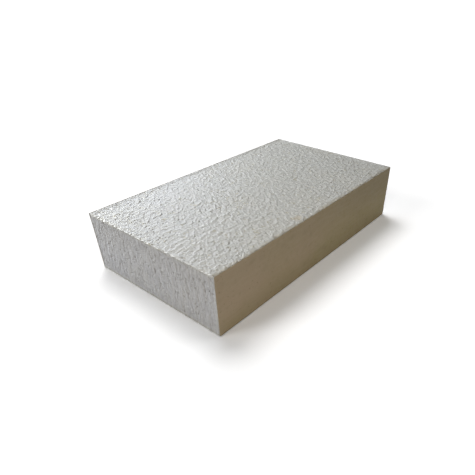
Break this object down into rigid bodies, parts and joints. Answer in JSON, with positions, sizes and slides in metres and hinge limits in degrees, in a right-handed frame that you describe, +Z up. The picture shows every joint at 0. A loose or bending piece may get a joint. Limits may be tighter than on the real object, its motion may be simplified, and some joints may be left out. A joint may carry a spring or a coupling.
{
  "type": "nail buffer block",
  "caption": "Flat rectangular foam buffing block with pebbled abrasive faces above and below, smooth buffing sheets on the long sides and bare sawn-foam ends.",
  "frame": {"origin": "middle of the bottom face, on the resting plane", "axes": "+X along the block's length, +Y across its width from the front long side to the rear, +Z up through its thickness"},
  "size_m": [0.095, 0.055, 0.02],
  "materials": {
    "cut_foam": "sawn closed-cell foam, dry and matte, with upright saw streaks and small pits",
    "abrasive_coat": "off-white coat pressed into small shallow cells, satin on the raised rims between them and duller inside",
    "backing_paper": "grey latex-filled paper, matte",
    "adhesive": "cream contact adhesive, satin",
    "backing_film": "pale plastic film, satin",
    "buffing_coat": "smooth taupe micro-fine buffing coat, matte, with faint rub marks"
  },
  "bodies": {
    "root": {"foam_core": "cut_foam", "top_adhesive_film": "adhesive", "top_backing_paper": "backing_paper", "top_abrasive_coat": "abrasive_coat", "bottom_adhesive_film": "adhesive", "bottom_backing_paper": "backing_paper", "bottom_abrasive_coat": "abrasive_coat", "front_adhesive_film": "adhesive", "front_backing_film": "backing_film", "front_buffing_coat": "buffing_coat", "rear_adhesive_film": "adhesive", "rear_backing_film": "backing_film", "rear_buffing_coat": "buffing_coat"}
  },
  "joints": []
}
